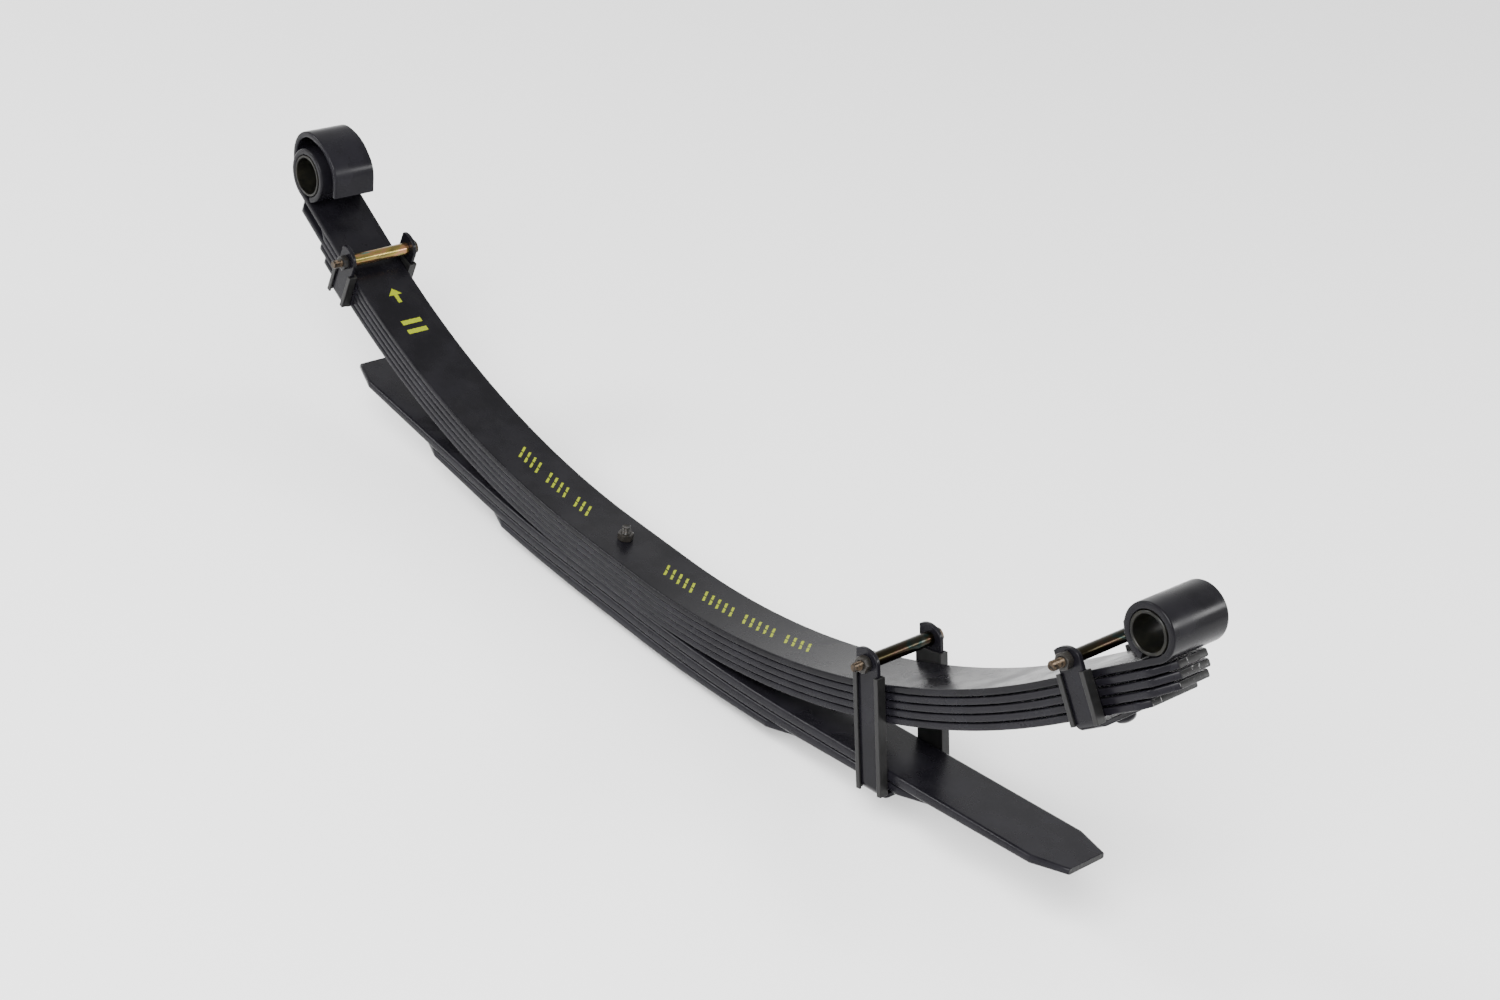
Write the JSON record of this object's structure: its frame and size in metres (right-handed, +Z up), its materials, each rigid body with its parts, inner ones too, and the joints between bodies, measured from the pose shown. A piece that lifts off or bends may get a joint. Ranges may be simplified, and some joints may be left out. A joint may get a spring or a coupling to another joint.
{
  "type": "leaf spring",
  "caption": "Rear leaf spring with rolled eyes, a helper pack under the main pack, a centre bolt and three bolted clips with plated spacer tubes.",
  "frame": {"origin": "bottom face of the centre bolt's head, on the bolt's axis, where it drops into the axle's spring seat", "axes": "+X towards the rear eye along the spring, +Y across the leaves, +Z up from the axle to the frame"},
  "size_m": [1.1521, 0.103, 0.3435],
  "materials": {
    "satin_black_paint": "satin",
    "sleeve_steel": "satin",
    "black_fastener": "semi-gloss",
    "liner_plastic": "matte",
    "zinc_plating": "yellow passivated zinc"
  },
  "bodies": {
    "seat": {"leaf_1_seat": "satin_black_paint", "leaf_2_seat": "satin_black_paint", "leaf_3_seat": "satin_black_paint", "leaf_4_seat": "satin_black_paint", "leaf_5_seat": "satin_black_paint", "leaf_6": "satin_black_paint", "leaf_7": "satin_black_paint", "leaf_8": "satin_black_paint", "centre_bolt": "black_fastener", "centre_nut": "black_fastener", "middle_clip_strap": "satin_black_paint", "middle_clip_liner_near": "liner_plastic", "middle_clip_liner_far": "liner_plastic", "middle_clip_bolt": "black_fastener", "middle_clip_nut": "black_fastener", "middle_clip_spacer": "zinc_plating", "middle_clip_rivet": "black_fastener"},
    "front_arm": {"leaf_1_front": "satin_black_paint", "leaf_2_front": "satin_black_paint", "leaf_3_front": "satin_black_paint", "leaf_4_front": "satin_black_paint", "leaf_5_front": "satin_black_paint", "front_sleeve": "sleeve_steel", "front_clip_strap": "satin_black_paint", "front_clip_liner_near": "liner_plastic", "front_clip_liner_far": "liner_plastic", "front_clip_bolt": "black_fastener", "front_clip_nut": "black_fastener", "front_clip_spacer": "zinc_plating", "front_clip_rivet": "black_fastener"},
    "rear_arm": {"leaf_1_rear": "satin_black_paint", "leaf_2_rear": "satin_black_paint", "leaf_3_rear": "satin_black_paint", "leaf_4_rear": "satin_black_paint", "leaf_5_rear": "satin_black_paint", "rear_sleeve": "sleeve_steel", "rear_clip_strap": "satin_black_paint", "rear_clip_liner_near": "liner_plastic", "rear_clip_liner_far": "liner_plastic", "rear_clip_bolt": "black_fastener", "rear_clip_nut": "black_fastener", "rear_clip_spacer": "zinc_plating", "rear_clip_rivet": "black_fastener"}
  },
  "joints": [
    {"name": "front_flex", "type": "hinge", "parent": "seat", "child": "front_arm", "pos_m": [-0.17464, 0, 0.05126], "axis": [0, -1, 0], "range_deg": [-3, 9], "stiffness_Nm_per_rad": 3500},
    {"name": "rear_flex", "type": "hinge", "parent": "seat", "child": "rear_arm", "pos_m": [0.19917, 0, 0.05173], "axis": [0, 1, 0], "range_deg": [-3, 9], "stiffness_Nm_per_rad": 3500}
  ]
}
